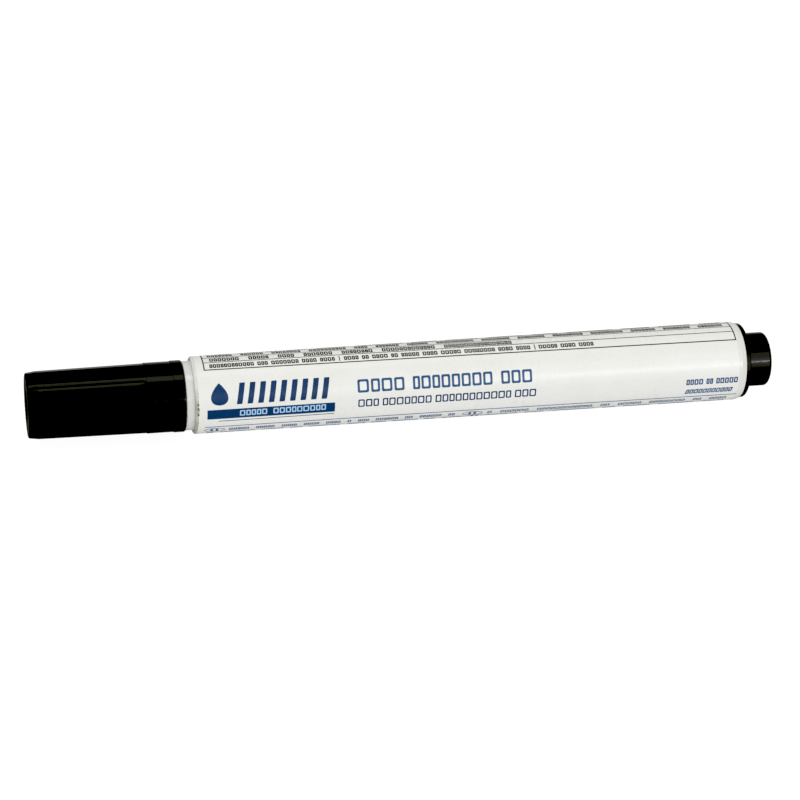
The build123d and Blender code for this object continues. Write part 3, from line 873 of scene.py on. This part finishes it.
def ring_shape(centre, size, stroke):
    """A ring, as cross lines from its inner to its outer ellipse."""
    t = np.linspace(0, TURN, 40, endpoint=False)
    direction = np.stack([np.cos(t), np.sin(t)], -1)
    outer = np.array(centre) + direction * np.array(size) / 2
    inner = np.array(centre) + direction * (np.array(size) / 2 - stroke)
    return np.stack([inner, outer], axis=1)[None], True


def drop_shape(centre, low, width, height):
    """A solid drop.

    With a height u from 0 to 1, half its width goes as the root of u times 1 less u, over the greatest value
    that this takes.
    """
    u = np.concatenate([np.linspace(0, 0.12, 6), np.linspace(0.16, 0.97, 16), [0.995]])
    greatest = 0.385
    half = width / 2 * np.sqrt(u) * (1 - u) / greatest
    return cross_lines(centre - half, centre + half, low + height * u)[None], False


def hollow_boxes(boxes, stroke, side_steps=3):
    """Upright frames with cut corners, as cross lines from their inner to their outer outline.

    The outline is a unit square with its corners cut off, drawn counterclockwise, with side_steps points up
    each upright side. It is scaled to half the box outside, and to that less the stroke inside.
    """
    boxes, stroke = np.asarray(boxes, float), np.asarray(stroke, float)[:, None, None]
    cut = 0.80
    rise = np.linspace(-cut, cut, side_steps)
    ones = np.ones(side_steps)
    x = np.concatenate([ones, [cut, -cut], -ones, [-cut, cut]])
    y = np.concatenate([rise, [1, 1], -rise, [-1, -1]])
    unit = np.stack([x, y], -1)[None]
    centre = np.stack([boxes[:, :2].mean(axis=1), boxes[:, 2:].mean(axis=1)], -1)[:, None]
    half = np.stack([boxes[:, 1] - boxes[:, 0], boxes[:, 3] - boxes[:, 2]], -1)[:, None] / 2
    return np.stack([centre + unit * (half - stroke), centre + unit * half], axis=2), True


def words(rows, height, weight=0.21, gap=1.0, tall_steps=3, slant=0.0):
    """Rows of plain hollow boxes, all of one height, grouped like words, in place of printing.

    A row is start, stop, low at its start, low at its stop, the number of boxes in each group and a seed for
    their widths. The boxes of a row are scaled together so that they fill its length. A box takes a share of
    its cell, and the weight is its stroke as a share of the height.
    """
    share = 0.84
    boxes = []
    for start, stop, low, low_stop, sizes, seed in rows:
        cell = np.random.default_rng(seed).uniform(0.66, 0.88, sum(sizes))
        space = np.zeros(len(cell))
        space[np.cumsum(sizes)[:-1]] = gap
        left = np.cumsum(space + np.concatenate([[0], cell[:-1]]))
        scale = (stop - start) / (left[-1] + cell[-1])
        left, width = start + left * scale, cell * scale * share
        base = low + (left - start) / (stop - start) * (low_stop - low)
        boxes.append(np.stack([left, left + width, base, base + height], -1))
    boxes = np.concatenate(boxes)
    lines, ring = hollow_boxes(boxes, np.full(len(boxes), height * weight), tall_steps)
    lines[..., 0] += slant * (lines[..., 1] - boxes[:, 2][:, None, None])
    return lines, ring


def make_print():
    """All print of the label, in stations and arcs.

    A black frame of rules holds rows of boxes. Below it are a drop, slanted stripes, a navy panel and large
    boxes, and below those blue rows with ovals.
    """
    left, right = FRAME_FRONT, FRAME_REAR
    black = [
        rule((left, 7.24), (right, 6.70), 0.22),
        rule((left, 18.90), (right, 18.50), 0.22),
        rule((left, 7.13), (left, 19.01), 0.22),
        rule((right, 6.59), (right, 18.61), 0.22),
        rule((59.5, 7.45), (59.5, 8.80), 0.17),
        rule((98.0, 7.30), (98.0, 8.65), 0.17),
    ]
    shelves = ((9.22, 8.92), (11.02, 10.60), (12.92, 12.50), (14.82, 14.40), (16.72, 16.30))
    black += [rule((left, low), (right, low_stop), 0.16) for low, low_stop in shelves]
    small_rows = [
        (34.5, 58.7, 7.68, 7.62, [12, 3, 7, 4, 4], 11),
        (60.4, 97.2, 7.62, 7.46, [4, 2, 4, 2, 5, 4, 5, 8, 4, 4], 12),
        (98.8, 109.9, 7.46, 7.40, [5, 4, 4], 13),
    ]
    black.append(words(small_rows, 0.98, weight=0.23, gap=0.6))
    capital_rows = [
        (34.7, 93.9, 9.52, 9.28, [7, 5, 4, 7, 8, 13, 17], 14),
        (34.5, 137.2, 11.36, 10.95, [7, 6, 8, 10, 4, 7, 6, 10, 8, 8, 9, 9, 7, 8, 7], 15),
        (34.5, 137.2, 13.26, 12.85, [6, 9, 5, 7, 11, 6, 8, 9, 6, 12, 7, 8, 5], 16),
        (34.5, 137.2, 15.16, 14.75, [8, 4, 9, 7, 6, 10, 5, 9, 8, 7, 11, 6], 17),
        (34.5, 120.0, 17.06, 16.70, [5, 8, 7, 10, 6, 9, 7, 8, 6, 9], 18),
    ]
    black.append(words(capital_rows, 1.12, weight=0.22, gap=1.7))
    stamp("label_print_black", black, INK_BLACK)

    stripe_width, stripe_pitch = 1.05, 2.03
    stripes = [(edge, edge + stripe_width, 0.05, 4.15) for edge in 39.0 + stripe_pitch * np.arange(9)]
    navy = [
        drop_shape(35.8, 0.0, 3.3, 4.3),
        blocks(stripes, 14, slant=0.18, rounding=0.12),
        blocks([(left, 57.9, -2.9, -0.85)], 12, rounding=0.04),
        rule((35.6, -3.50), (57.8, -3.38), 0.15),
        words([(62.4, 97.7, -2.2, -2.3, [3, 7, 11, 3], 23)], 1.60, weight=0.16, gap=0.3, tall_steps=6),
    ]
    stamp("label_print_navy", navy, INK_NAVY)

    name_rows = [
        (62.3, 71.8, 0.77, 0.75, [4], 31),
        (73.1, 89.1, 0.75, 0.72, [8], 34),
        (90.5, 97.0, 0.72, 0.70, [3], 33),
    ]
    blue = [
        words(name_rows, 2.55, weight=0.17, tall_steps=9),
        rule((33.05, -5.15), (86.0, -5.09), 0.20),
        rule((86.0, -5.09), (138.8, -5.48), 0.20),
        words([(127.9, 138.6, -2.12, -2.16, [4, 2, 5], 35)], 1.22, gap=0.5, tall_steps=4),
        words([(127.9, 137.6, -4.40, -4.45, [11], 36)], 1.18, tall_steps=4, slant=0.25),
    ]
    low_rows = [
        (37.8, 82.0, -6.95, -6.9, [5, 5, 4, 4, 4, 1, 3, 6, 2, 6, 2], 41),
        (88.4, 137.2, -6.95, -7.25, [1, 6, 12, 2, 5, 8, 2, 4], 42),
        (33.6, 84.0, -8.85, -8.8, [2, 9, 6, 3, 8, 5, 4, 7, 3, 6], 43),
        (88.4, 137.2, -8.85, -9.1, [7, 4, 9, 3, 6, 8, 5], 44),
        (33.6, 137.2, -10.75, -11.0, [3, 8, 6, 4, 9, 2, 7, 5, 10, 3, 6, 8, 4, 7, 5, 6], 45),
        (33.6, 137.2, -12.65, -12.9, [9, 4, 7, 3, 8, 6, 5, 11, 4, 6, 3, 9, 5, 7, 4], 46),
        (33.6, 110.0, -14.55, -14.7, [6, 3, 8, 5, 7, 4, 9, 3, 6, 5, 8], 47),
    ]
    blue.append(words(low_rows, 1.0, gap=1.3))
    ovals = ((35.0, -6.45), (85.4, -6.45), (86.2, -8.35))
    blue += [ring_shape(oval, (4.0, 1.6), 0.17) for oval in ovals]
    stubs = ((34.2, -6.9), (35.2, -6.9), (84.6, -6.9), (85.6, -6.9), (85.4, -8.8), (86.4, -8.8))
    blue.append(blocks([(s, s + 0.5, arc, arc + 0.9) for s, arc in stubs]))
    stamp("label_print_blue", blue, INK_BLUE)

    pale_rows = [(39.6, 45.0, -2.42, -2.38, [5], 51), (46.0, 56.3, -2.38, -2.30, [9], 52)]
    stamp("label_print_pale", [words(pale_rows, 1.2, weight=0.2, tall_steps=4)], INK_PALE, 1.7 * INK_PROUD)


# ---- the scene --------------------------------------------------------------------------------------------
def make_camera():
    """The camera, in front of the pen, left of its middle and above it, with a long lens."""
    data = bpy.data.cameras.new("camera")
    data.sensor_width = 36.0
    data.lens = 114.66
    data.clip_start = 0.01
    camera = bpy.data.objects.new("camera", data)
    bpy.context.scene.collection.objects.link(camera)
    where, aim = Vector((-0.0986, -0.4614, 0.1583)), Vector((-0.00109, 0.0, 0.00404))
    camera.location = where
    camera.rotation_mode = "QUATERNION"
    camera.rotation_quaternion = (aim - where).to_track_quat("-Z", "Y")
    bpy.context.scene.camera = camera


def soft_panel(name, where, aim, size, power, colour=(1, 1, 1)):
    """A rectangular studio light that faces a point."""
    data = bpy.data.lights.new(name, "AREA")
    data.shape = "RECTANGLE"
    data.size, data.size_y = size
    data.energy = power
    data.color = colour
    light = bpy.data.objects.new(name, data)
    bpy.context.scene.collection.objects.link(light)
    light.location = where
    light.rotation_mode = "QUATERNION"
    light.rotation_quaternion = (Vector(aim) - Vector(where)).to_track_quat("-Z", "Y")
    return light


def make_surroundings():
    """White surroundings that light the pen from all round, and more from the upper left.

    Where the pen mirrors them they are nearly dark, with a low glow behind its right half.
    """
    white, cool, warm = (1, 1, 1, 1), (0.95, 0.97, 1, 1), (1, 1, 0.985, 1)
    lit, lit_from_left = 0.92, 1.55
    mirrored_dark, mirrored_glow = 0.015, 0.45
    world = bpy.data.worlds.new("studio")
    bpy.context.scene.world = world
    world.use_nodes = True
    tree = world.node_tree
    tree.nodes.clear()
    path = add(tree, "ShaderNodeLightPath")
    seen = add(tree, "ShaderNodeBackground", {"Color": white, "Strength": 1.05}).outputs[0]
    direction = add(tree, "ShaderNodeTexCoord").outputs["Generated"]
    x, y, z = add(tree, "ShaderNodeSeparateXYZ", {"Vector": direction}).outputs

    behind = times(tree, spread(tree, y, 0.25, 0.75), spread(tree, x, -0.08, 0.06))
    low = times(tree, spread(tree, z, 0.52, 0.10), spread(tree, z, -0.50, -0.30))
    glow = spread(tree, times(tree, behind, low), 0.0, 1.0, mirrored_dark, mirrored_glow)
    mirrored = add(tree, "ShaderNodeBackground", {"Color": cool, "Strength": glow}).outputs[0]

    upper_left = times(tree, spread(tree, x, 0.1, -0.7), spread(tree, z, -0.1, 0.5))
    strength = spread(tree, upper_left, 0.0, 1.0, lit, lit_from_left)
    around = add(tree, "ShaderNodeBackground", {"Color": warm, "Strength": strength}).outputs[0]

    by_ray = {0: path.outputs["Is Glossy Ray"], 1: around, 2: mirrored}
    unseen = add(tree, "ShaderNodeMixShader", by_ray).outputs[0]
    by_camera = {0: path.outputs["Is Camera Ray"], 1: unseen, 2: seen}
    surface = add(tree, "ShaderNodeMixShader", by_camera).outputs[0]
    add(tree, "ShaderNodeOutputWorld", {"Surface": surface})


def make_floor():
    """A large plain floor that looks pale by its own glow, and gives back little light."""
    material, tree, shader, where = new_finish("pale_floor", {"Roughness": 1.0, "Specular IOR Level": 0.0})
    shade = blend_colours(tree, grain(tree, where, 3, 2.0), (0.10, 0.10, 0.10), (0.12, 0.12, 0.12))
    tree.links.new(shade, shader.inputs["Base Color"])
    shader.inputs["Emission Color"].default_value = (1, 1, 1, 1)
    shader.inputs["Emission Strength"].default_value = 0.95
    reach = 3.0
    corners = [(-reach, -reach, 0), (reach, -reach, 0), (reach, reach, 0), (-reach, reach, 0)]
    mesh = bpy.data.meshes.new("floor")
    mesh.from_pydata(corners, [], [(0, 1, 2, 3)])
    mesh.materials.append(material)
    floor = bpy.data.objects.new("floor", mesh)
    bpy.context.scene.collection.objects.link(floor)
    floor.location.z = cad_box[0].z - 0.05 * MM
    floor.visible_glossy = False
    floor.visible_shadow = False


make_camera()
make_surroundings()
make_floor()
PANELS = (
    # name, place, point that it faces, width and height, power
    ("front_window", (0.48, -1.05, 0.26), (0.04, 0, 0.007), (0.50, 1.30), 2.2),
    ("window_spill", (0.34, -1.02, 0.16), (0.0, 0, 0.007), (0.50, 0.45), 0.35),
    ("window_core", (0.42, -1.0, 0.12), (0.05, 0, 0.007), (0.26, 0.04), 0.60),
    ("window_core_left", (0.24, -1.0, 0.12), (0.0, 0, 0.007), (0.27, 0.06), 0.16),
)
WARM_WHITE = (1.0, 0.99, 0.96)
soft_panel("overhead_strip", (-0.045, -0.073, 0.507), (-0.02, 0, 0.007), (0.33, 0.150), 0.20, WARM_WHITE)
for panel in PANELS:
    soft_panel(*panel)

make_cap()
make_inner_cap()
make_nose()
make_nib()
make_barrel()
make_label()
make_rear_plug()
make_print()

for node, finish in (("reservoir_core", FIBRE), ("reservoir_film", WRAP)):
    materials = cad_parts[node].data.materials
    materials.clear()
    materials.append(finish)

view = bpy.context.scene.view_settings
view.view_transform = "Standard"
view.look = "None"
view.use_curve_mapping = True
view.curve_mapping.black_level = (0.013, 0.013, 0.018)
view.curve_mapping.update()
